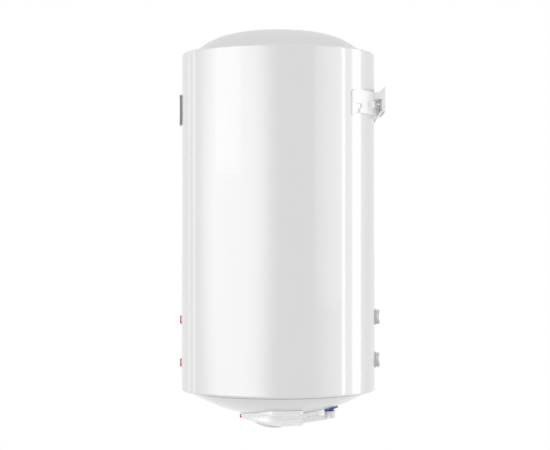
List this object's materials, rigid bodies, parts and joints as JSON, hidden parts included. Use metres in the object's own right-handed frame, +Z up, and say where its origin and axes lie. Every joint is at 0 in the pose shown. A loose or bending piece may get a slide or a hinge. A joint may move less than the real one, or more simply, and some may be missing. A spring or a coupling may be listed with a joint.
{
  "type": "storage water heater",
  "caption": "Wall-hung upright drum with domed ends, pressed wall bracket, bottom water pipes, indirect coil stubs and a moulded bottom cover with a knob.",
  "frame": {"origin": "centre of the wall bracket's wall face", "axes": "+Z up, +Y towards the wall, -Y towards the user, +X the user's right"},
  "size_m": [0.4499, 0.475, 0.9214],
  "materials": {
    "white_enamel": "gloss white stove enamel",
    "bracket_paint": "white powder coat",
    "white_moulding": "gloss white moulding",
    "cover_plastic": "semi-gloss white moulding",
    "knob_plastic": "fine satin light grey moulding",
    "sleeve_plastic": "white insulating plastic",
    "blue_plastic": "blue moulding",
    "red_plastic": "red moulding",
    "red_lens": "clear red lens",
    "lamp_glass": "small neon lamp",
    "badge_grey": "dark satin grey",
    "collar_plastic": "grey moulding",
    "pipe_steel": "dark phosphated steel",
    "stub_steel": "zinc-plated steel",
    "fixing_steel": "bright zinc-plated fixings",
    "tank_enamel": "blue-grey vitreous enamel",
    "foam": "rigid foam, a closed block in the model",
    "gasket_rubber": "dense rubber",
    "element_copper": "tinned copper sheath",
    "anode_magnesium": "dull cast rod",
    "control_plastic": "black moulding"
  },
  "bodies": {
    "heater": {"anode_stud": "fixing_steel", "bottom_cap": "white_moulding", "bottom_cover": "cover_plastic", "bracket_bolt_left": "fixing_steel", "bracket_bolt_right": "fixing_steel", "bracket_standoff_left": "tank_enamel", "bracket_standoff_right": "tank_enamel", "cable_gland": "collar_plastic", "coil_stub_lower": "stub_steel", "coil_stub_upper": "stub_steel", "cold_diffuser": "sleeve_plastic", "cold_inlet_pipe": "pipe_steel", "cold_ring": "blue_plastic", "cold_sleeve": "sleeve_plastic", "cover_screws": "fixing_steel", "earth_stud": "fixing_steel", "element_terminals": "fixing_steel", "flange_gasket": "gasket_rubber", "flange_neck": "tank_enamel", "flange_nuts": "fixing_steel", "flange_plate": "tank_enamel", "flange_studs": "fixing_steel", "front_badge": "badge_grey", "heat_exchanger_coil": "tank_enamel", "heating_element_left": "element_copper", "heating_element_right": "element_copper", "hot_outlet_pipe": "pipe_steel", "hot_ring": "red_plastic", "hot_sleeve": "sleeve_plastic", "indicator_lamp": "lamp_glass", "indicator_lens": "red_lens", "inner_tank": "tank_enamel", "insulation_foam": "foam", "magnesium_anode": "anode_magnesium", "outer_casing": "white_enamel", "plug_washer_lower": "fixing_steel", "plug_washer_upper": "fixing_steel", "safety_cutout": "control_plastic", "sensor_plug_lower": "red_plastic", "sensor_plug_upper": "red_plastic", "sensor_pocket_lower": "stub_steel", "sensor_pocket_upper": "stub_steel", "stub_collar_lower": "collar_plastic", "stub_collar_upper": "collar_plastic", "terminal_block": "cover_plastic", "thermostat_body": "control_plastic", "thermostat_bulb": "element_copper", "thermostat_capillary": "element_copper", "thermostat_pocket": "stub_steel", "top_cap": "white_moulding", "wall_bracket": "bracket_paint"},
    "knob": {"thermostat_knob": "knob_plastic", "thermostat_spindle": "fixing_steel"}
  },
  "joints": [
    {"name": "knob_turn", "type": "hinge", "parent": "heater", "child": "knob", "pos_m": [0, -0.267, -0.7498], "axis": [0, 0.1668, 0.986], "range_deg": [0, 250]}
  ]
}
